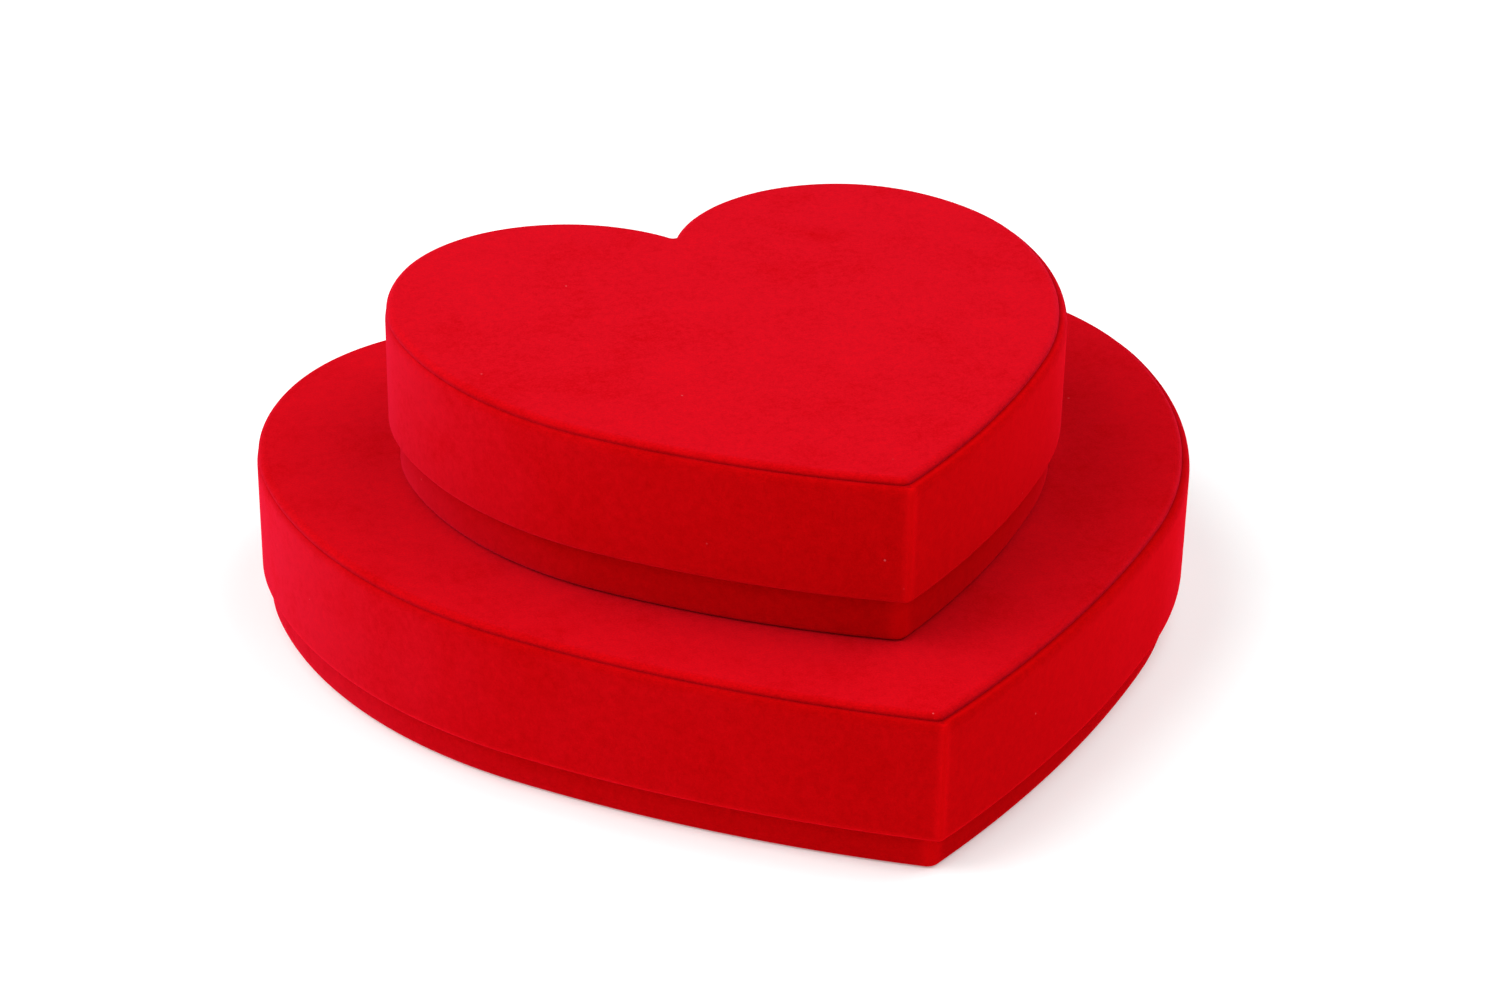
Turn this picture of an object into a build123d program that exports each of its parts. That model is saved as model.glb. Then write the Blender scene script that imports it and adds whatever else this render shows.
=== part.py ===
"""Two heart-shaped gift boxes in velvet, the small one standing on the large one.

Each box is a rigid board box: a base, and a lid that slides down over it and rests on its rim.
The lid is a velvet-covered frame with a velvet-covered panel glued on its top.
Millimetres. +Z is up, the hearts point towards -Y, and Z = 0 is the table.
"""
import os
from dataclasses import dataclass
from math import atan2, cos, degrees, radians, sin, sqrt

from build123d import *

# Large heart, at the outer face of its lid, measured from its widest line
large_width = 280.0
large_lobe_spacing = 127.0
large_lobe_rise = 84.8
large_cleft_depth = 34.0
large_tip_reach = 183.5
large_tip_angle = 120.0

# Small heart
small_width = 198.6
small_lobe_spacing = 90.0
small_lobe_rise = 60.4
small_cleft_depth = 24.0
small_tip_reach = 134.0
small_tip_angle = 119.0

# Heights of the bases up to their rims, and of the lids
large_base_height = 46.5
large_lid_height = 38.2
small_base_height = 47.9
small_lid_height = 36.4

# Where the small box stands on the large one, and how far off centre the large lid sits on its base
small_forward = 12.9
small_left = 4.7
small_turn = 3.4
large_lid_right = 0.6
large_lid_back = 0.15

# Sheets
wall_board = 1.2
panel_board = 0.9
floor_board = 2.0
velvet = 0.5
lining = 0.3
bottom_sheet = 0.3

# Air between the lid's inside and the base
lid_clearance = 0.8

# How far the panel lies in from the lid's outer face, and how far left and back of the middle it was glued
panel_inset = 1.4
panel_left = 0.8
panel_back = 0.8

# How far the sheets are turned over the edges of the boards
lid_turn_in = 12.0
frame_turn_in = 6.0
rim_turn_in = 15.0
panel_turn_under = 10.0
floor_turn_under = 10.0
bottom_sheet_margin = 4.0

# Bevels on the boards' edges that show through the velvet on the top of the lid
frame_bevel = 0.4
panel_bevel = 0.5

# Rounding of the covered edges, and of the corners at the tip and the cleft
roll_round = 1.2
hem_break = 0.4
panel_round = 1.6
foot_break = 0.8
lid_tip_round = 1.8
panel_tip_round = 2.6
base_tip_round = 4.0
cleft_round = 1.0
least_corner = 0.3

# A fold is never rounder than this many times the sheet and the bevel, so that the board's edge stays covered
fold_limit = 2.3


def biarc_joint(start, start_way, end, end_way):
    """Point where two tangent arcs meet between two points with given directions."""
    span = end - start
    ways = start_way + end_way
    turn = 1 - start_way.dot(end_way)
    along = span.dot(ways)
    reach = (sqrt(along**2 + 2 * turn * span.dot(span)) - along) / (2 * turn)
    return (start + end + (start_way - end_way) * reach) / 2


def arc_through(point, inward, other):
    """Centre and radius of the arc through two points, with its centre on the inward line at the first."""
    span = other - point
    radius = span.dot(span) / (2 * span.dot(inward))
    return point + inward * radius, radius


def heading(centre, point):
    """Angle in degrees at which a point lies from a centre."""
    return degrees(atan2(point.Y - centre.Y, point.X - centre.X))


@dataclass
class Heart:
    """A heart outline, measured from its widest line at Y = 0."""

    width: float
    lobe_spacing: float
    lobe_rise: float
    cleft_depth: float
    tip_reach: float
    tip_angle: float

    def arcs(self):
        """The right half from the cleft to the tip: each arc's centre, radius, first and last angle."""
        half_tip = radians(self.tip_angle / 2)
        crown = Vector(self.lobe_spacing / 2, self.lobe_rise)
        widest = Vector(self.width / 2, 0)
        tip = Vector(0, -self.tip_reach)
        across, down = Vector(1, 0), Vector(0, -1)
        to_tip = Vector(-sin(half_tip), -cos(half_tip))
        inward_at_tip = Vector(-cos(half_tip), sin(half_tip))

        lobe_radius = (crown.X**2 + self.cleft_depth**2) / (2 * self.cleft_depth)
        upper_joint = biarc_joint(crown, across, widest, down)
        lower_joint = biarc_joint(widest, down, tip, to_tip)
        top_arc = arc_through(crown, down, upper_joint)
        shoulder_arc = arc_through(widest, Vector(-1, 0), upper_joint)
        flank_arc = arc_through(widest, Vector(-1, 0), lower_joint)
        side_arc = arc_through(tip, inward_at_tip, lower_joint)
        return [
            (crown + down * lobe_radius, lobe_radius, None, 90),
            (*top_arc, 90, heading(top_arc[0], upper_joint)),
            (*shoulder_arc, heading(shoulder_arc[0], upper_joint), 0),
            (*flank_arc, 0, heading(flank_arc[0], lower_joint)),
            (*side_arc, heading(side_arc[0], lower_joint), None),
        ]

    def outline(self, inset, tip_radius, cleft_radius):
        """The right half drawn in by inset, closed by round arcs on the axis at the cleft and the tip."""
        lobe, *middle, side = self.arcs()
        lobe_centre, lobe_radius = lobe[0], lobe[1] - inset
        side_centre, side_radius = side[0], side[1] - inset
        cleft = Vector(0, lobe_centre.Y + sqrt((lobe_radius + cleft_radius) ** 2 - lobe_centre.X**2))
        tip = Vector(0, side_centre.Y - sqrt((side_radius - tip_radius) ** 2 - side_centre.X**2))
        return [
            (cleft, cleft_radius, heading(cleft, lobe_centre), -90),
            (lobe_centre, lobe_radius, heading(lobe_centre, cleft), lobe[3]),
            *((centre, radius - inset, first, last) for centre, radius, first, last in middle),
            (side_centre, side_radius, side[2], heading(side_centre, tip)),
            (tip, tip_radius, heading(side_centre, tip), -90),
        ]

    def tip_y(self, tip_radius):
        """Y of the rounded tip of the outline itself."""
        tip_centre, radius, _, _ = self.outline(0, tip_radius, cleft_round)[-1]
        return tip_centre.Y - radius


@dataclass
class Wall:
    """A covered edge that follows a heart: its inset from the lid's outer face, its tip and where it stands."""

    inset: float
    tip_round: float
    plane: Plane

    @property
    def middle(self):
        """Upright plane through the cleft and the tip, facing right."""
        return Plane(origin=self.plane.origin, x_dir=self.plane.y_dir, z_dir=self.plane.x_dir)


@dataclass
class Box:
    """One box: its name, its heart at the lid's outer face, its heights and where its base and lid stand."""

    name: str
    heart: Heart
    base_height: float
    lid_height: float
    base_plane: Plane
    lid_plane: Plane

    @property
    def base_wall(self):
        """Wall of the base, inside the wall of the lid."""
        return Wall(wall_thickness + lid_clearance, base_tip_round, self.base_plane)

    @property
    def lid_wall(self):
        """Wall of the lid's frame, which follows the heart itself."""
        return Wall(0, lid_tip_round, self.lid_plane)

    @property
    def panel_edge(self):
        """Edge of the lid's panel, on top of the frame, a little to the left and the back."""
        origin = self.lid_plane.from_local_coords((-panel_left, panel_back, 0))
        return Wall(panel_inset, panel_tip_round, Plane(origin=origin, x_dir=self.lid_plane.x_dir))

    @property
    def height(self):
        """Top of the lid's panel when the lid rests on the base's rim."""
        return self.base_height + panel_stack

    @property
    def lid_low(self):
        """Lower edge of the closed lid."""
        return self.height - self.lid_height

    @property
    def frame_top(self):
        """Rolled top edge of the lid's frame, which carries the panel."""
        return self.base_height + lining


# Depths through a covered wall, from its outer face inwards
wall_thickness = velvet + wall_board + velvet
board_outside = velvet
board_inside = velvet + wall_board
lining_inside = board_inside + lining

# Heights in the base, and the stack of sheets in the lid's panel
wrap_low = bottom_sheet
boards_low = wrap_low + velvet
floor_top = boards_low + floor_board
floor_lining_top = floor_top + lining
panel_stack = velvet + panel_board + velvet + lining

large_heart = Heart(
    large_width,
    large_lobe_spacing,
    large_lobe_rise,
    large_cleft_depth,
    large_tip_reach,
    large_tip_angle,
)
small_heart = Heart(
    small_width,
    small_lobe_spacing,
    small_lobe_rise,
    small_cleft_depth,
    small_tip_reach,
    small_tip_angle,
)

# The large lid is centred on the origin, and the small box stands a little forward and turned on it
large_centre_y = -(large_lobe_rise + large_heart.tip_y(lid_tip_round)) / 2
large_box = Box(
    "large",
    large_heart,
    large_base_height,
    large_lid_height,
    Plane(origin=(-large_lid_right, large_centre_y - large_lid_back, 0)),
    Plane(origin=(0, large_centre_y, 0)),
)
small_centre = (-small_left, large_centre_y - small_forward, large_box.height)
small_plane = Plane(origin=small_centre).rotated((0, 0, small_turn))
small_box = Box(
    "small",
    small_heart,
    small_base_height,
    small_lid_height,
    small_plane,
    small_plane,
)


def fold(radius, bevel=0):
    """Rounding of a folded edge, limited by the sheet that is folded and the bevel of the board inside it."""
    return min(radius, fold_limit * (velvet + bevel))


def draw_heart(heart, wall, depth, mode=Mode.ADD):
    """Face of the heart at a depth into a wall, for the sketch that is open."""
    tip_radius = max(wall.tip_round - depth, least_corner)
    with BuildLine() as outline:
        for centre, radius, first, last in heart.outline(wall.inset + depth, tip_radius, cleft_round + depth):
            CenterArc(centre, radius, last, first - last)
        mirror(about=Plane.YZ)
    make_face(outline.edges(), mode=mode)


def draw_ring(heart, wall, outer_depth, inner_depth):
    """Band of the heart between two depths into a wall, for the sketch that is open."""
    draw_heart(heart, wall, outer_depth)
    draw_heart(heart, wall, inner_depth, mode=Mode.SUBTRACT)


def sheet(heart, wall, depth, low, thickness):
    """Flat heart: a board, a lining or a sheet of paper."""
    with BuildPart() as flat:
        with BuildSketch(wall.plane.offset(low)):
            draw_heart(heart, wall, depth)
        extrude(amount=thickness)
    return flat.part


def wall_strip(heart, wall, low, high, side, bevel=0):
    """Upright board strip round one half of the heart, from the cleft to the tip."""
    with BuildPart() as strip:
        with BuildSketch(wall.plane.offset(low)):
            draw_ring(heart, wall, board_outside, board_inside)
        extrude(amount=high - low)
        if bevel:
            chamfer(strip.faces().sort_by(Axis.Z)[-1].outer_wire().edges(), bevel)
        split(bisect_by=wall.middle, keep=side)
    return strip.part


def wall_lining(heart, wall, low, high):
    """Paper strip round the inside of the wall boards."""
    with BuildPart() as strip:
        with BuildSketch(wall.plane.offset(low)):
            draw_ring(heart, wall, board_inside, lining_inside)
        extrude(amount=high - low)
    return strip.part


def base_side_wrap(box):
    """Velvet round the base: under the floor's edge, up the wall, over the rim and down the inside."""
    heart, wall, rim = box.heart, box.base_wall, box.base_height
    with BuildPart() as wrap:
        with BuildSketch(wall.plane.offset(wrap_low)):
            draw_heart(heart, wall, 0)
        extrude(amount=rim - wrap_low)
        with BuildSketch(wall.plane.offset(boards_low)):
            draw_heart(heart, wall, wall_thickness)
        extrude(amount=rim - boards_low, mode=Mode.SUBTRACT)
        with BuildSketch(wall.plane.offset(wrap_low)):
            draw_heart(heart, wall, floor_turn_under)
        extrude(amount=velvet, mode=Mode.SUBTRACT)
        chamfer(wrap.faces().sort_by(Axis.Z)[-1].edges(), fold(hem_break))
        chamfer(wrap.faces().sort_by(Axis.Z)[0].outer_wire().edges(), fold(foot_break))
        with BuildSketch(wall.plane.offset(boards_low)):
            draw_ring(heart, wall, board_outside, board_inside)
        extrude(amount=rim - velvet - boards_low, mode=Mode.SUBTRACT)
        with BuildSketch(wall.plane.offset(boards_low)):
            draw_ring(heart, wall, board_inside, wall_thickness)
        extrude(amount=rim - rim_turn_in - boards_low, mode=Mode.SUBTRACT)
    return wrap.part


def lid_wall_board(box, side):
    """Board strip of the lid's frame, with a bevel under the velvet's roll."""
    low, high = box.lid_low + velvet, box.frame_top - velvet
    return wall_strip(box.heart, box.lid_wall, low, high, side, frame_bevel)


def lid_panel_board(box):
    """Board of the lid's panel, with a bevel under the velvet's round edge."""
    with BuildPart() as board:
        with BuildSketch(box.panel_edge.plane.offset(box.frame_top + velvet)):
            draw_heart(box.heart, box.panel_edge, velvet)
        extrude(amount=panel_board)
        chamfer(board.faces().sort_by(Axis.Z)[-1].edges(), panel_bevel)
    return board.part


def lid_side_wrap(box):
    """Velvet round the lid's frame: rolled over its top edge, and turned in at both edges."""
    heart, wall = box.heart, box.lid_wall
    with BuildPart() as wrap:
        with BuildSketch(wall.plane.offset(box.lid_low)):
            draw_ring(heart, wall, 0, wall_thickness)
        extrude(amount=box.frame_top - box.lid_low)
        chamfer(wrap.faces().sort_by(Axis.Z)[0].edges(), fold(hem_break))
        fillet(wrap.faces().sort_by(Axis.Z)[-1].outer_wire().edges(), fold(roll_round, frame_bevel))
        add(lid_wall_board(box, Keep.BOTTOM), mode=Mode.SUBTRACT)
        add(lid_wall_board(box, Keep.TOP), mode=Mode.SUBTRACT)
        with BuildSketch(wall.plane.offset(box.lid_low + lid_turn_in)):
            draw_ring(heart, wall, board_inside, wall_thickness)
        extrude(amount=box.frame_top - frame_turn_in - box.lid_low - lid_turn_in, mode=Mode.SUBTRACT)
    return wrap.part


def lid_panel_cover(box):
    """Velvet over the lid's panel: across the top, round the board's edge and turned under."""
    heart, edge = box.heart, box.panel_edge
    cover_low = box.frame_top
    with BuildPart() as cover:
        with BuildSketch(edge.plane.offset(cover_low)):
            draw_heart(heart, edge, 0)
        extrude(amount=box.height - cover_low)
        fillet(cover.faces().sort_by(Axis.Z)[-1].edges(), fold(panel_round, panel_bevel))
        add(lid_panel_board(box), mode=Mode.SUBTRACT)
        with BuildSketch(edge.plane.offset(cover_low)):
            draw_heart(heart, edge, panel_turn_under)
        extrude(amount=velvet, mode=Mode.SUBTRACT)
    return cover.part


def base_pieces(box):
    """Every piece of a box's base, by name."""
    heart, wall, rim = box.heart, box.base_wall, box.base_height
    board_top = rim - velvet
    return {
        "base_bottom_sheet": sheet(heart, wall, bottom_sheet_margin, 0, bottom_sheet),
        "base_floor_board": sheet(heart, wall, board_inside, boards_low, floor_board),
        "base_wall_left": wall_strip(heart, wall, boards_low, board_top, Keep.BOTTOM),
        "base_wall_right": wall_strip(heart, wall, boards_low, board_top, Keep.TOP),
        "base_side_wrap": base_side_wrap(box),
        "base_floor_lining": sheet(heart, wall, board_inside, floor_top, lining),
        "base_wall_lining": wall_lining(heart, wall, floor_lining_top, rim - rim_turn_in),
    }


def lid_pieces(box):
    """Every piece of a box's lid, by name, with the lid resting on the base's rim."""
    heart, wall = box.heart, box.lid_wall
    return {
        "lid_wall_left": lid_wall_board(box, Keep.BOTTOM),
        "lid_wall_right": lid_wall_board(box, Keep.TOP),
        "lid_side_wrap": lid_side_wrap(box),
        "lid_panel_board": lid_panel_board(box),
        "lid_panel_cover": lid_panel_cover(box),
        "lid_panel_lining": sheet(heart, wall, wall_thickness, box.base_height, lining),
        "lid_wall_lining": wall_lining(heart, wall, box.lid_low + lid_turn_in, box.frame_top - frame_turn_in),
    }


os.makedirs("parts", exist_ok=True)
for gift_box in (large_box, small_box):
    for piece_name, piece in (base_pieces(gift_box) | lid_pieces(gift_box)).items():
        piece.label = f"{gift_box.name}_{piece_name}"
        export_step(piece, f"parts/{piece.label}.step")
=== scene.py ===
"""Two heart-shaped velvet gift boxes, the small one standing on the large one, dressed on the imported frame.

The velvet sheets are built here as closed skins, swept round the heart outlines of the model.
Metres. +Z is up, the hearts point towards -Y, and Z = 0 is the table.
"""

from dataclasses import dataclass
from math import atan2, ceil, cos, pi, radians, sin, sqrt

import bpy
from mathutils import Matrix, Vector, noise
from mathutils.geometry import delaunay_2d_cdt


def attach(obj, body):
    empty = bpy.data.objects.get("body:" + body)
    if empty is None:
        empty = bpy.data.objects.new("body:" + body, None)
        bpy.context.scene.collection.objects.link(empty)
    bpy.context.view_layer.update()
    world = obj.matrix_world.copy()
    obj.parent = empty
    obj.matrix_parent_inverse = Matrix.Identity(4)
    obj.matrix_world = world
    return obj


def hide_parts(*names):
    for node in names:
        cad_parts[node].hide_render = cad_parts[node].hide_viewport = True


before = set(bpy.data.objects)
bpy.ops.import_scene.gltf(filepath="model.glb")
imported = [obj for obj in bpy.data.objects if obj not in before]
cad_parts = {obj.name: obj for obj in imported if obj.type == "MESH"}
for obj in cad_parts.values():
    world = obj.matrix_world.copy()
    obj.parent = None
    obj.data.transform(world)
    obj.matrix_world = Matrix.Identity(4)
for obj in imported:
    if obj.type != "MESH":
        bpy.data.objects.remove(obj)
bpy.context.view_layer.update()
scene = bpy.context.scene
mm = 0.001

# Sheets and folds, as in the model
wall_board = 1.2 * mm
panel_board = 0.9 * mm
velvet = 0.5 * mm
lining = 0.3 * mm
bottom_sheet = 0.3 * mm
lid_clearance = 0.8 * mm
panel_inset = 1.4 * mm
panel_left = 0.8 * mm
panel_back = 0.8 * mm
lid_turn_in = 12.0 * mm
frame_turn_in = 6.0 * mm
rim_turn_in = 15.0 * mm
panel_turn_under = 10.0 * mm
floor_turn_under = 10.0 * mm
lid_tip_round = 1.8 * mm
panel_tip_round = 2.6 * mm
base_tip_round = 4.0 * mm
cleft_round = 1.0 * mm
least_corner = 0.3 * mm
frame_bevel = 0.4 * mm
panel_bevel = 0.5 * mm

# Rounding of the covered edges, which is softer here than in the model
roll_across = 1.4 * mm
roll_down = 3.0 * mm
hem_round = 1.0 * mm
rim_round = 0.9 * mm
foot_round = 1.2 * mm
panel_across = 2.2 * mm
panel_down = 1.6 * mm

# Where the painted shade in the seam round the panel begins
painted_shade_reach = 1.2 * mm

# Flap of the frame's velvet over the lining under the panel, and how far it stands above the lining
frame_flap = 1.5 * mm
flap_lift = 0.1 * mm

# Width of the painted highlight stripes over the bends: from the tips, and up from the lids' lower edges
lid_tip_stripe = 3.0 * mm
base_tip_stripe = 5.0 * mm
hem_stripe = 1.8 * mm

wall_thickness = velvet + wall_board + velvet
board_outside = velvet
board_inside = velvet + wall_board
wrap_low = bottom_sheet
boards_low = wrap_low + velvet
panel_stack = velvet + panel_board + velvet + lining

# Fineness of the skins
along_step = 1.5 * mm
across_step = 2.0 * mm
fill_step = 3.0 * mm
corner_steps = 8
least_arc_steps = 8

# Filling of a flat outline: only triangles inside it are kept, and points this near are joined
keep_inside = 1
weld_distance = 1e-9


def biarc_joint(start, start_way, end, end_way):
    """Point where two tangent arcs meet between two points with given directions."""
    span = end - start
    turn = 1 - start_way.dot(end_way)
    along = span.dot(start_way + end_way)
    reach = (sqrt(along**2 + 2 * turn * span.dot(span)) - along) / (2 * turn)
    return (start + end + (start_way - end_way) * reach) / 2


def arc_through(point, inward, other):
    """Centre and radius of the arc through two points, with its centre on the inward line at the first."""
    span = other - point
    radius = span.dot(span) / (2 * span.dot(inward))
    return point + inward * radius, radius


def heading(centre, point):
    """Angle at which a point lies from a centre."""
    return atan2(point.y - centre.y, point.x - centre.x)


@dataclass
class Heart:
    """A heart outline, measured from its widest line at Y = 0."""

    width: float
    lobe_spacing: float
    lobe_rise: float
    cleft_depth: float
    tip_reach: float
    tip_angle: float

    def arcs(self, inset, tip_radius, cleft_radius):
        """The right half drawn in by inset, from cleft to tip: centre, radius, first and last angle."""
        half_tip = self.tip_angle / 2
        crown = Vector((self.lobe_spacing / 2, self.lobe_rise))
        widest = Vector((self.width / 2, 0))
        tip_point = Vector((0, -self.tip_reach))
        across, down = Vector((1, 0)), Vector((0, -1))
        to_tip = Vector((-sin(half_tip), -cos(half_tip)))
        inward_at_tip = Vector((-cos(half_tip), sin(half_tip)))

        lobe_radius = (crown.x**2 + self.cleft_depth**2) / (2 * self.cleft_depth)
        lobe_centre = crown + down * lobe_radius
        upper_joint = biarc_joint(crown, across, widest, down)
        lower_joint = biarc_joint(widest, down, tip_point, to_tip)
        top_centre, top_radius = arc_through(crown, down, upper_joint)
        shoulder_centre, shoulder_radius = arc_through(widest, -across, upper_joint)
        flank_centre, flank_radius = arc_through(widest, -across, lower_joint)
        side_centre, side_radius = arc_through(tip_point, inward_at_tip, lower_joint)

        cleft_reach = sqrt((lobe_radius - inset + cleft_radius) ** 2 - lobe_centre.x**2)
        cleft = Vector((0, lobe_centre.y + cleft_reach))
        tip_reach = sqrt((side_radius - inset - tip_radius) ** 2 - side_centre.x**2)
        tip = Vector((0, side_centre.y - tip_reach))
        tip_heading = heading(side_centre, tip)
        return [
            (cleft, cleft_radius, -pi / 2, heading(cleft, lobe_centre)),
            (lobe_centre, lobe_radius - inset, heading(lobe_centre, cleft), pi / 2),
            (top_centre, top_radius - inset, pi / 2, heading(top_centre, upper_joint)),
            (shoulder_centre, shoulder_radius - inset, heading(shoulder_centre, upper_joint), 0),
            (flank_centre, flank_radius - inset, 0, heading(flank_centre, lower_joint)),
            (side_centre, side_radius - inset, heading(side_centre, lower_joint), tip_heading),
            (tip, tip_radius, tip_heading, -pi / 2),
        ]


@dataclass
class Wall:
    """A covered edge that follows a heart: its inset from the lid's outer face, its tip and its place."""

    inset: float
    tip_round: float
    place: Matrix


@dataclass
class Box:
    """One box, with its heart at the lid's outer face, and how strong the painted highlight along its lid's
    hem is.
    """

    name: str
    heart: Heart
    base_height: float
    lid_height: float
    hem_highlight_share: float
    base_place: Matrix
    lid_place: Matrix

    @property
    def base_wall(self):
        """Wall of the base, inside the wall of the lid."""
        return Wall(wall_thickness + lid_clearance, base_tip_round, self.base_place)

    @property
    def lid_wall(self):
        """Wall of the lid's frame, which follows the heart itself."""
        return Wall(0, lid_tip_round, self.lid_place)

    @property
    def panel_edge(self):
        """Edge of the lid's panel, on top of the frame, a little to the left and the back."""
        place = self.lid_place @ Matrix.Translation((-panel_left, panel_back, 0))
        return Wall(panel_inset, panel_tip_round, place)

    @property
    def height(self):
        """Top of the lid's panel when the lid rests on the base's rim."""
        return self.base_height + panel_stack

    @property
    def lid_low(self):
        """Lower edge of the closed lid."""
        return self.height - self.lid_height

    @property
    def frame_top(self):
        """Rolled top edge of the lid's frame, which carries the panel."""
        return self.base_height + lining

    def loop(self, wall, depth):
        """Closed outline at a depth into a wall, with as many points at every depth."""
        tip_radius = max(wall.tip_round - depth, least_corner)
        arcs = self.heart.arcs(wall.inset + depth, tip_radius, cleft_round + depth)
        counts = [
            max(ceil(radius * abs(last - first) / along_step), least_arc_steps)
            for _, radius, first, last in self.heart.arcs(wall.inset, wall.tip_round, cleft_round)
        ]
        right = []
        for (centre, radius, first, last), count in zip(arcs, counts):
            for step in range(count):
                angle = first + (last - first) * step / count
                right.append(centre + Vector((cos(angle), sin(angle))) * radius)
        tip, tip_radius = arcs[-1][0], arcs[-1][1]
        right.append(tip - Vector((0, tip_radius)))
        left = [Vector((-point.x, point.y)) for point in reversed(right[1:-1])]
        return right + left


large_heart = Heart(
    width=280.0 * mm,
    lobe_spacing=127.0 * mm,
    lobe_rise=84.8 * mm,
    cleft_depth=34.0 * mm,
    tip_reach=183.5 * mm,
    tip_angle=radians(120),
)
small_heart = Heart(
    width=198.6 * mm,
    lobe_spacing=90.0 * mm,
    lobe_rise=60.4 * mm,
    cleft_depth=24.0 * mm,
    tip_reach=134.0 * mm,
    tip_angle=radians(119),
)
small_forward = 12.9 * mm
small_left = 4.7 * mm
small_turn = radians(3.4)
large_lid_right = 0.6 * mm
large_lid_back = 0.15 * mm

large_tip = large_heart.arcs(0, lid_tip_round, cleft_round)[-1]
large_centre_y = -(large_heart.lobe_rise + large_tip[0].y - large_tip[1]) / 2
large_lid_place = Matrix.Translation((0, large_centre_y, 0))
large_box = Box(
    name="large",
    heart=large_heart,
    base_height=46.5 * mm,
    lid_height=38.2 * mm,
    hem_highlight_share=1.0,
    base_place=large_lid_place @ Matrix.Translation((-large_lid_right, -large_lid_back, 0)),
    lid_place=large_lid_place,
)
small_centre = Matrix.Translation((-small_left, large_centre_y - small_forward, large_box.height))
small_place = small_centre @ Matrix.Rotation(small_turn, 4, "Z")
small_box = Box(
    name="small",
    heart=small_heart,
    base_height=47.9 * mm,
    lid_height=36.4 * mm,
    hem_highlight_share=0.3,
    base_place=small_place,
    lid_place=small_place,
)


def rounded_section(corners):
    """Closed section from corners (depth, height, rounding before, rounding after), in short steps."""
    points = []
    for index, (depth, height, *rounding) in enumerate(corners):
        here = Vector((depth, height))
        if rounding:
            before = (Vector(corners[index - 1][:2]) - here).normalized() * rounding[0]
            after = (Vector(corners[(index + 1) % len(corners)][:2]) - here).normalized() * rounding[-1]
            for step in range(corner_steps + 1):
                turn = pi / 2 * step / corner_steps
                points.append(here + after * (1 - cos(turn)) + before * (1 - sin(turn)))
        else:
            points.append(here)
    section = []
    for index, point in enumerate(points):
        following = points[(index + 1) % len(points)]
        count = max(ceil((following - point).length / across_step), 1)
        section.extend(point.lerp(following, step / count) for step in range(count))
    return section


# How far the velvet wanders from the flat of its board, over which wave, and its finer ripple
face_wander = 0.07 * mm
roll_wander = 0.12 * mm
face_wave = 26 * mm
roll_wave = 9 * mm
ripple_share = 0.3
ripples_per_wave = 2.7

# Powers of a wall's sideways facing, for the painted light that makes its sheen pinker: strongly over the
# left flank, and only far out on the right
left_pink_power = 2
right_pink_power = 8


def unevenness(point, wave):
    """Slow, repeatable rise and fall between -1 and 1 over about one wave."""
    slow = noise.noise(point / wave)
    ripple = noise.noise(point / wave * ripples_per_wave)
    return slow * (1 - ripple_share) + ripple * ripple_share


def make_object(name, vertices, faces, sharp_angle=50, **marks):
    """Smooth mesh object, sharp where its faces meet steeply, with a mark of each kind for every point."""
    mesh = bpy.data.meshes.new(name)
    mesh.from_pydata(vertices, [], faces)
    mesh.validate()
    for kind, values in marks.items():
        mesh.attributes.new(kind, "FLOAT", "POINT").data.foreach_set("value", values)
    mesh.shade_smooth()
    mesh.set_sharp_from_angle(angle=radians(sharp_angle))
    made = bpy.data.objects.new(name, mesh)
    scene.collection.objects.link(made)
    return made


def ring_faces(ring_count, ring_size, first=0, closed=True):
    """Quads between neighbouring rings of points, and from the last ring to the first if closed."""
    faces = []
    for ring in range(ring_count if closed else ring_count - 1):
        here = first + ring * ring_size
        there = first + (ring + 1) % ring_count * ring_size
        for index in range(ring_size):
            following = (index + 1) % ring_size
            faces.append((here + index, there + index, there + following, here + following))
    return faces


def nearness(distance, reach):
    """Falls smoothly from 1 at no distance to 0 at a reach."""
    left = min(max(1 - distance / reach, 0), 1)
    return left * left * (3 - 2 * left)


def painted_pink_share(way):
    """How much pinker the sheen is painted on a wall that faces a way, from 0 to 1: painted light, strongest
    on walls facing left.
    """
    return way.x**left_pink_power if way.x < 0 else way.x**right_pink_power


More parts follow.
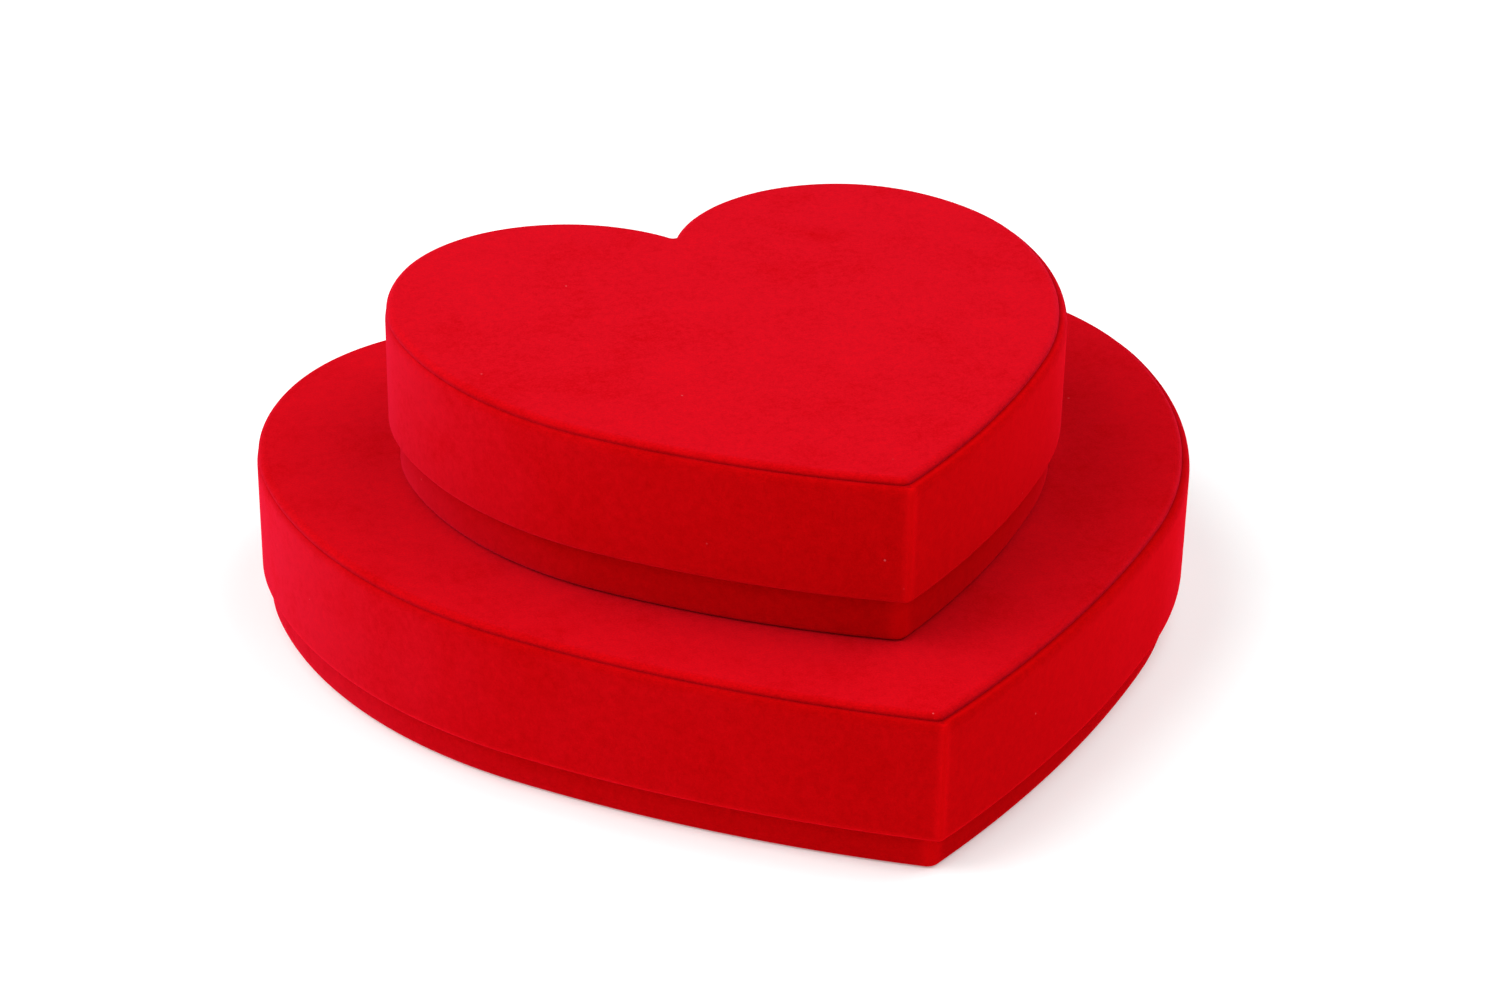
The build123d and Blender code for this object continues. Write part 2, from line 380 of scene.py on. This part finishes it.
def sweep(name, box, wall, section, low, high, tip_stripe, is_lid):
    """Closed skin: a section carried round the heart, its outer face from low to high a little uneven."""
    outer = box.loop(wall, 0)
    size = len(outer)
    tip = min(outer, key=lambda point: point.y)
    # Painted highlight: a lighter stripe down each tip, and on lids up from the hem, stands in for sheen over
    # the bends.
    tip_bends = [nearness((point - tip).length, tip_stripe) for point in outer]
    outward = []
    for index in range(size):
        along = outer[(index + 1) % size] - outer[index - 1]
        outward.append(Vector((-along.y, along.x)).normalized())
    vertices = []
    tucks = []
    bends = []
    for depth, height in section:
        inside = min(max(height - low, 0), max(high - height, 0))
        face = min(inside / roll_down, 1) if depth < board_outside / 2 else 0
        top = max(1 - (high - height) / velvet, 0)
        hem_bend = nearness(height - low, hem_stripe) * box.hem_highlight_share if is_lid else 0
        for way in outward:
            # Painted shade: the velvet is darkened in the seam where the panel sits on the frame.
            seam = panel_inset + panel_left * way.x - panel_back * way.y
            tucks.append(nearness(seam - depth, painted_shade_reach) * top if is_lid else 0)
        bends.extend(max(hem_bend, bend) if depth < wall_thickness / 2 else 0 for bend in tip_bends)
        for index, point in enumerate(box.loop(wall, depth)):
            spot = Vector((point.x, point.y, height))
            swell = face * face_wander * unevenness(spot, face_wave)
            lift = 0
            if depth < roll_across:
                lift = top * roll_wander * (unevenness(spot, roll_wave) - 1) / 2
            moved = point + outward[index] * swell
            vertices.append(wall.place @ Vector((moved.x, moved.y, height + lift)))
    # Painted light: the sheen is tinted pinker where a wall faces left, and only far out on the right, as on
    # the brightly lit flank.
    painted_pinks = [painted_pink_share(way) for way in outward] * len(section)
    return make_object(name, vertices, ring_faces(len(section), size), tuck=tucks, bend=bends, nap=painted_pinks)


def lid_side_wrap(box):
    """Velvet round the lid's frame: rolled over its top edge, and turned in at both edges."""
    low, high = box.lid_low, box.frame_top + flap_lift
    corners = [
        (0, low, hem_round),
        (0, low + hem_stripe),
        (0, high, roll_down, roll_across),
        (wall_thickness + frame_flap, high),
        (wall_thickness + frame_flap, high - lining / 2 - flap_lift),
        (wall_thickness, high - lining / 2 - flap_lift),
        (wall_thickness, high - frame_turn_in),
        (board_inside, high - frame_turn_in),
        (board_inside, high - velvet),
        (board_outside + frame_bevel, high - velvet),
        (board_outside, high - velvet - frame_bevel),
        (board_outside, low + velvet),
        (board_inside, low + velvet),
        (board_inside, low + lid_turn_in),
        (wall_thickness, low + lid_turn_in),
        (wall_thickness, low, hem_round),
    ]
    section = rounded_section(corners)
    name = f"{box.name}_lid_side_velvet"
    return sweep(name, box, box.lid_wall, section, low, high, lid_tip_stripe, is_lid=True)


def base_side_wrap(box):
    """Velvet round the base: under the floor's edge, up the wall, over the rim and down the inside."""
    rim = box.base_height
    corners = [
        (0, wrap_low, foot_round),
        (0, rim, rim_round),
        (wall_thickness, rim, rim_round),
        (wall_thickness, rim - rim_turn_in),
        (board_inside, rim - rim_turn_in),
        (board_inside, rim - velvet),
        (board_outside, rim - velvet),
        (board_outside, boards_low),
        (floor_turn_under, boards_low),
        (floor_turn_under, wrap_low),
    ]
    section = rounded_section(corners)
    name = f"{box.name}_base_side_velvet"
    return sweep(name, box, box.base_wall, section, wrap_low, rim, base_tip_stripe, is_lid=False)


def filled(outline, step):
    """Points inside an outline and the triangles that fill it, the outline's own points first."""
    reach = max(max(abs(point.x), abs(point.y)) for point in outline)
    count = ceil(reach / step)
    inside = []
    for row in range(-count, count + 1):
        y = row * step * sqrt(3) / 2
        crossings = []
        for index, point in enumerate(outline):
            other = outline[index - 1]
            if (point.y > y) != (other.y > y):
                crossings.append(point.x + (y - point.y) / (other.y - point.y) * (other.x - point.x))
        crossings.sort()
        for left, right in zip(crossings[::2], crossings[1::2]):
            first = ceil((left + step / 2) / step - row % 2 / 2)
            x = (first + row % 2 / 2) * step
            while x < right - step / 2:
                inside.append(Vector((x, y)))
                x += step
    boundary = list(range(len(outline)))
    points, _, triangles, _, _, _ = delaunay_2d_cdt(
        list(outline) + inside, [], [boundary], keep_inside, weld_distance
    )
    return points, triangles


def lid_panel_cover(box):
    """Velvet over the lid's panel: across the top, round the board's edge and turned under."""
    top = box.height
    low = box.frame_top
    board_low = low + velvet
    board_high = board_low + panel_board
    section = []
    for step in range(corner_steps + 1):
        turn = pi / 2 * step / corner_steps
        section.append((panel_across * (1 - sin(turn)), top - panel_down * (1 - cos(turn))))
    section += [
        (0, low),
        (panel_turn_under, low),
        (panel_turn_under, board_low),
        (velvet, board_low),
        (velvet, board_high - panel_bevel),
        (velvet + panel_bevel, board_high),
    ]

    vertices = []
    tucks = []
    for depth, height in section:
        for point in box.loop(box.panel_edge, depth):
            vertices.append(Vector((point.x, point.y, height)))
            # Painted shade along the panel's foot, where it sits on the frame.
            tucks.append(nearness(height - low, painted_shade_reach))
    size = len(vertices) // len(section)
    faces = ring_faces(len(section), size, closed=False)
    for ring, upward in ((0, True), (len(section) - 1, False)):
        outline = [vertices[ring * size + index].to_2d() for index in range(size)]
        height = section[ring][1]
        points, triangles = filled(outline, fill_step)
        start = len(vertices) - size
        vertices.extend(Vector((point.x, point.y, height)) for point in points[size:])
        tucks.extend([0.0] * (len(points) - size))
        for triangle in triangles:
            corners = [ring * size + index if index < size else start + index for index in triangle]
            faces.append(corners if upward else corners[::-1])
    for vertex in vertices:
        above = max(1 - (top - vertex.z) / panel_down, 0)
        vertex.z += above * roll_wander * (unevenness(vertex, face_wave) - 1) / 2
    placed = [box.panel_edge.place @ vertex for vertex in vertices]
    # Painted light: the panel's whole top gets the pinker sheen of a brightly lit face.
    painted_pinks = [1.0] * len(placed)
    return make_object(f"{box.name}_lid_panel_velvet", placed, faces, tuck=tucks, nap=painted_pinks)


def node_maker(material):
    """Function that adds a node to a material, sets its inputs by place or by name and returns it."""
    nodes, links = material.node_tree.nodes, material.node_tree.links

    def add(kind, *values, **named):
        node = nodes.new(kind)
        sockets = [(node.inputs[place], value) for place, value in enumerate(values)]
        sockets += [(node.inputs[name.replace("_", " ")], value) for name, value in named.items()]
        for socket, value in sockets:
            if isinstance(value, bpy.types.NodeSocket):
                links.new(value, socket)
            else:
                socket.default_value = value
        return node

    return add


def new_material(name):
    """Empty node material with its maker and its shader."""
    material = bpy.data.materials.new(name)
    material.use_nodes = True
    shader = material.node_tree.nodes["Principled BSDF"]
    return material, node_maker(material), shader


def reckon(add, operation, *values):
    """Output of a math node."""
    node = add("ShaderNodeMath", *values)
    node.operation = operation
    return node.outputs[0]


def blend_colour(add, amount, first, second):
    """Output of a colour mix that goes from the first colour to the second."""
    node = add("ShaderNodeMix", Factor=amount)
    node.data_type = "RGBA"
    links = node.id_data.links
    for socket, value in ((node.inputs[6], first), (node.inputs[7], second)):
        if isinstance(value, bpy.types.NodeSocket):
            links.new(value, socket)
        else:
            socket.default_value = value
    return node.outputs[2]


def noise_texture(add, place, size, detail, rough):
    """Noise whose spots are about a size across."""
    node = add("ShaderNodeTexNoise", Vector=place, Scale=1 / size, Detail=detail, Roughness=rough)
    return node.outputs["Fac"]


# Velvet: the sizes of its marks
pile_size = 0.6 * mm
tuft_size = 2.4 * mm
cloud_size = 18 * mm
pile_height = 0.1 * mm
lint_spacing = 12 * mm
lint_reach = 0.03

# How strongly the painted seam shade darkens the velvet, the painted highlight over a bend lightens it, and
# lint and pile show
painted_shade_strength = 0.45
bend_strength = 0.5
lint_strength = 0.3
bump_strength = 0.3
painted_shade_red = (0.10, 0.0002, 0.0004, 1)
bend_red = (0.85, 0.002, 0.004, 1)
lint_pink = (0.85, 0.25, 0.27, 1)

# Sheen tint for the walls, and the pinker tint painted on the brightly lit left flank and on the panels; and
# how far each random mark moves it between the two
shaded_sheen = (1.0, 0.004, 0.012, 1)
lit_pink_sheen = (1.0, 0.022, 0.072, 1)
cloud_pink = 1.6
tuft_pink = 1.2
pile_pink = 0.8


def velvet_material(name, dark, light, pile_contrast, tuft_contrast, cloud_contrast):
    """Red velvet: short mottled pile, slow clouds, a little lint and a red sheen; with painted shade in the
    seams, painted highlights over the bends, and painted light that makes the sheen pinker on walls facing
    left and on the panels.
    """
    material, add, shader = new_material(name)
    links = material.node_tree.links
    place = add("ShaderNodeTexCoord").outputs["Object"]
    pile = noise_texture(add, place, pile_size, detail=2.0, rough=0.6)
    tufts = noise_texture(add, place, tuft_size, detail=3.0, rough=0.6)
    clouds = noise_texture(add, place, cloud_size, detail=3.0, rough=0.5)

    middle = (1 - pile_contrast - tuft_contrast - cloud_contrast) / 2
    tone = reckon(add, "MULTIPLY_ADD", pile, pile_contrast, middle)
    tone = reckon(add, "MULTIPLY_ADD", tufts, tuft_contrast, tone)
    tone = reckon(add, "MULTIPLY_ADD", clouds, cloud_contrast, tone)
    ramp = add("ShaderNodeValToRGB", Fac=tone)
    ramp.color_ramp.elements[0].color = (*dark, 1)
    ramp.color_ramp.elements[1].color = (*light, 1)

    # Painted shade in the seam round the panel, mixed towards a near-black red.
    tuck = add("ShaderNodeAttribute")
    tuck.attribute_name = "tuck"
    shaded = reckon(add, "MULTIPLY", tuck.outputs["Fac"], painted_shade_strength)
    colour = blend_colour(add, shaded, ramp.outputs["Color"], painted_shade_red)

    # Painted highlight: lighter red over the tips and the lids' hems, where the sheen would catch.
    bend = add("ShaderNodeAttribute")
    bend.attribute_name = "bend"
    highlighted = reckon(add, "MULTIPLY", bend.outputs["Fac"], bend_strength)
    colour = blend_colour(add, highlighted, colour, bend_red)

    specks = add("ShaderNodeTexVoronoi", Vector=place, Scale=1 / lint_spacing)
    lint = reckon(add, "LESS_THAN", specks.outputs["Distance"], lint_reach)
    faintness = add("ShaderNodeSeparateColor", specks.outputs["Color"]).outputs[0]
    lint = reckon(add, "MULTIPLY", lint, reckon(add, "MULTIPLY", faintness, lint_strength))
    colour = blend_colour(add, lint, colour, lint_pink)
    links.new(colour, shader.inputs["Base Color"])

    bump = add("ShaderNodeBump", Strength=bump_strength, Distance=pile_height, Height=pile)
    links.new(bump.outputs["Normal"], shader.inputs["Normal"])

    # Painted light: the sheen tint turns pinker on walls facing left and on the panels, shifted at random by
    # the clouds, tufts and pile.
    nap = add("ShaderNodeAttribute")
    nap.attribute_name = "nap"
    wander = reckon(add, "MULTIPLY_ADD", clouds, cloud_pink, 1 - (cloud_pink + tuft_pink + pile_pink) / 2)
    wander = reckon(add, "MULTIPLY_ADD", tufts, tuft_pink, wander)
    wander = reckon(add, "MULTIPLY_ADD", pile, pile_pink, wander)
    pinkness = reckon(add, "MULTIPLY", nap.outputs["Fac"], wander)
    tint = blend_colour(add, pinkness, shaded_sheen, lit_pink_sheen)
    links.new(tint, shader.inputs["Sheen Tint"])
    shader.inputs["Roughness"].default_value = 0.95
    shader.inputs["Specular IOR Level"].default_value = 0.0
    shader.inputs["Sheen Weight"].default_value = 1.0
    shader.inputs["Sheen Roughness"].default_value = 0.5
    return material


# Paper: where its tone turns from dark to light, and its tooth
fibre_dark = 0.35
fibre_light = 0.65
tooth_strength = 0.25
tooth_height = 0.05 * mm


def paper_material(name, dark, light, fibre_scale, rough):
    """Paper or board: fibres and a slow change of tone, with a slight tooth."""
    material, add, shader = new_material(name)
    links = material.node_tree.links
    place = add("ShaderNodeTexCoord").outputs["Object"]
    fibres = add("ShaderNodeTexNoise", Vector=place, Scale=fibre_scale, Detail=6.0, Roughness=0.7)
    ramp = add("ShaderNodeValToRGB", Fac=fibres.outputs["Fac"])
    ramp.color_ramp.elements[0].position = fibre_dark
    ramp.color_ramp.elements[0].color = (*dark, 1)
    ramp.color_ramp.elements[1].position = fibre_light
    ramp.color_ramp.elements[1].color = (*light, 1)
    links.new(ramp.outputs["Color"], shader.inputs["Base Color"])
    tooth = fibres.outputs["Fac"]
    bump = add("ShaderNodeBump", Strength=tooth_strength, Distance=tooth_height, Height=tooth)
    links.new(bump.outputs["Normal"], shader.inputs["Normal"])
    shader.inputs["Roughness"].default_value = rough
    shader.inputs["Specular IOR Level"].default_value = 0.3
    return material


panel_velvet = velvet_material(
    "panel_velvet",
    dark=(0.40, 0.0005, 0.0008),
    light=(0.61, 0.0011, 0.0018),
    pile_contrast=1.2,
    tuft_contrast=0.8,
    cloud_contrast=0.6,
)
# The walls' velvet is a copy of the panels' made a little darker: painted shade on the walls, with its own
# pile contrasts.
shaded_side_velvet = velvet_material(
    "shaded_side_velvet",
    dark=(0.375, 0.0004, 0.0006),
    light=(0.585, 0.0009, 0.0015),
    pile_contrast=0.6,
    tuft_contrast=0.9,
    cloud_contrast=0.3,
)
grey_board = paper_material("grey_board", (0.25, 0.23, 0.20), (0.36, 0.33, 0.29), 700.0, 0.9)
lining_paper = paper_material("lining_paper", (0.76, 0.72, 0.66), (0.84, 0.81, 0.76), 500.0, 0.75)
bottom_paper = paper_material("bottom_paper", (0.16, 0.004, 0.008), (0.22, 0.006, 0.012), 600.0, 0.7)

for node_name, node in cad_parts.items():
    if "bottom_sheet" in node_name:
        paper = bottom_paper
    elif "lining" in node_name:
        paper = lining_paper
    else:
        paper = grey_board
    for place in node.material_slots:
        place.material = paper


def dress(piece, cloth, node, body):
    piece.data.materials.append(cloth)
    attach(piece, body)
    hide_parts(node)


for box in (large_box, small_box):
    lid, base = f"{box.name}_lid", f"{box.name}_base"
    lid_loop = box.loop(box.lid_wall, 0)
    base_loop = box.loop(box.base_wall, 0)
    panel_loop = box.loop(box.panel_edge, 0)

    dress(
        lid_side_wrap(box),
        shaded_side_velvet,
        f"{lid}_side_wrap",
        lid,
    )

    dress(
        base_side_wrap(box),
        shaded_side_velvet,
        f"{base}_side_wrap",
        base,
    )

    dress(
        lid_panel_cover(box),
        panel_velvet,
        f"{lid}_panel_cover",
        lid,
    )


# Floor, with painted light: it glows, faintly near the boxes and more with the distance from them, which
# paints a soft shadow round the boxes
floor_reach = 12.0
floor_cuts = 24
glow_start = 0.6
glow_end = 2.0
near_glow = 0.22
far_glow = 0.9
floor_points = []
floor_faces = []
for row in range(floor_cuts + 1):
    for column in range(floor_cuts + 1):
        x = (column / floor_cuts * 2 - 1) * floor_reach
        y = (row / floor_cuts * 2 - 1) * floor_reach
        floor_points.append((x, y, 0))
        if row < floor_cuts and column < floor_cuts:
            corner = row * (floor_cuts + 1) + column
            floor_faces.append((corner, corner + 1, corner + floor_cuts + 2, corner + floor_cuts + 1))
studio_floor = make_object("studio_floor", floor_points, floor_faces)
floor_white = paper_material("floor_white", (0.81, 0.86, 0.86), (0.83, 0.88, 0.88), 30.0, 0.8)
floor_shader = floor_white.node_tree.nodes["Principled BSDF"]
floor_shader.inputs["Emission Color"].default_value = (1, 1, 1, 1)
add_to_floor = node_maker(floor_white)
floor_place = add_to_floor("ShaderNodeTexCoord").outputs["Object"]
distance = add_to_floor("ShaderNodeVectorMath", floor_place)
distance.operation = "LENGTH"
# Painted light: the floor's glow, weaker near the boxes.
glow = add_to_floor(
    "ShaderNodeMapRange",
    distance.outputs["Value"],
    From_Min=glow_start,
    From_Max=glow_end,
    To_Min=near_glow,
    To_Max=far_glow,
)
floor_white.node_tree.links.new(glow.outputs["Result"], floor_shader.inputs["Emission Strength"])
studio_floor.data.materials.append(floor_white)

# Light, from both sides of the camera
camera_place = Vector((-0.3075, -0.8432, 0.5273))
light_distance = 1.5
light_size = 1.6
light_aim = Vector((0, 0, 0.05))
world = bpy.data.worlds.new("studio")
scene.world = world
world.use_nodes = True
world.node_tree.nodes["Background"].inputs["Color"].default_value = (1, 1, 1, 1)
world.node_tree.nodes["Background"].inputs["Strength"].default_value = 0.01


def softbox(name, beside_camera, rise, power):
    """Large soft light aimed at the boxes, at an angle beside the camera and a rise above the table."""
    angle = atan2(camera_place.y, camera_place.x) + radians(beside_camera)
    level = light_distance * cos(radians(rise))
    light = bpy.data.lights.new(name, "AREA")
    light.shape = "DISK"
    light.size = light_size
    light.energy = power
    holder = bpy.data.objects.new(name, light)
    holder.location = (level * cos(angle), level * sin(angle), light_distance * sin(radians(rise)))
    holder.rotation_euler = (light_aim - holder.location).to_track_quat("-Z", "Y").to_euler()
    scene.collection.objects.link(holder)


softbox("left_softbox", beside_camera=-90, rise=55, power=18.8)
softbox("low_left_softbox", beside_camera=-60, rise=30, power=8.9)
softbox("right_softbox", beside_camera=60, rise=55, power=9.7)
softbox("back_softbox", beside_camera=120, rise=55, power=11.5)

# Camera, at the photograph's angle
camera_data = bpy.data.cameras.new("camera")
camera_data.lens = 84.04
camera_data.sensor_width = 36.0
camera_data.sensor_fit = "HORIZONTAL"
camera_data.clip_start = 0.02
camera = bpy.data.objects.new("camera", camera_data)
camera_forward = Vector((0.2952, 0.8296, -0.4739)).normalized()
camera_roll = 0.0178
level_right = camera_forward.cross(Vector((0, 0, 1))).normalized()
level_up = level_right.cross(camera_forward)
right = level_right * cos(camera_roll) + level_up * sin(camera_roll)
up = level_up * cos(camera_roll) - level_right * sin(camera_roll)
facing = Matrix((right, up, -camera_forward)).transposed()
camera.matrix_world = Matrix.Translation(camera_place) @ facing.to_4x4()
scene.collection.objects.link(camera)
scene.camera = camera

scene.view_settings.view_transform = "Standard"
scene.view_settings.look = "None"
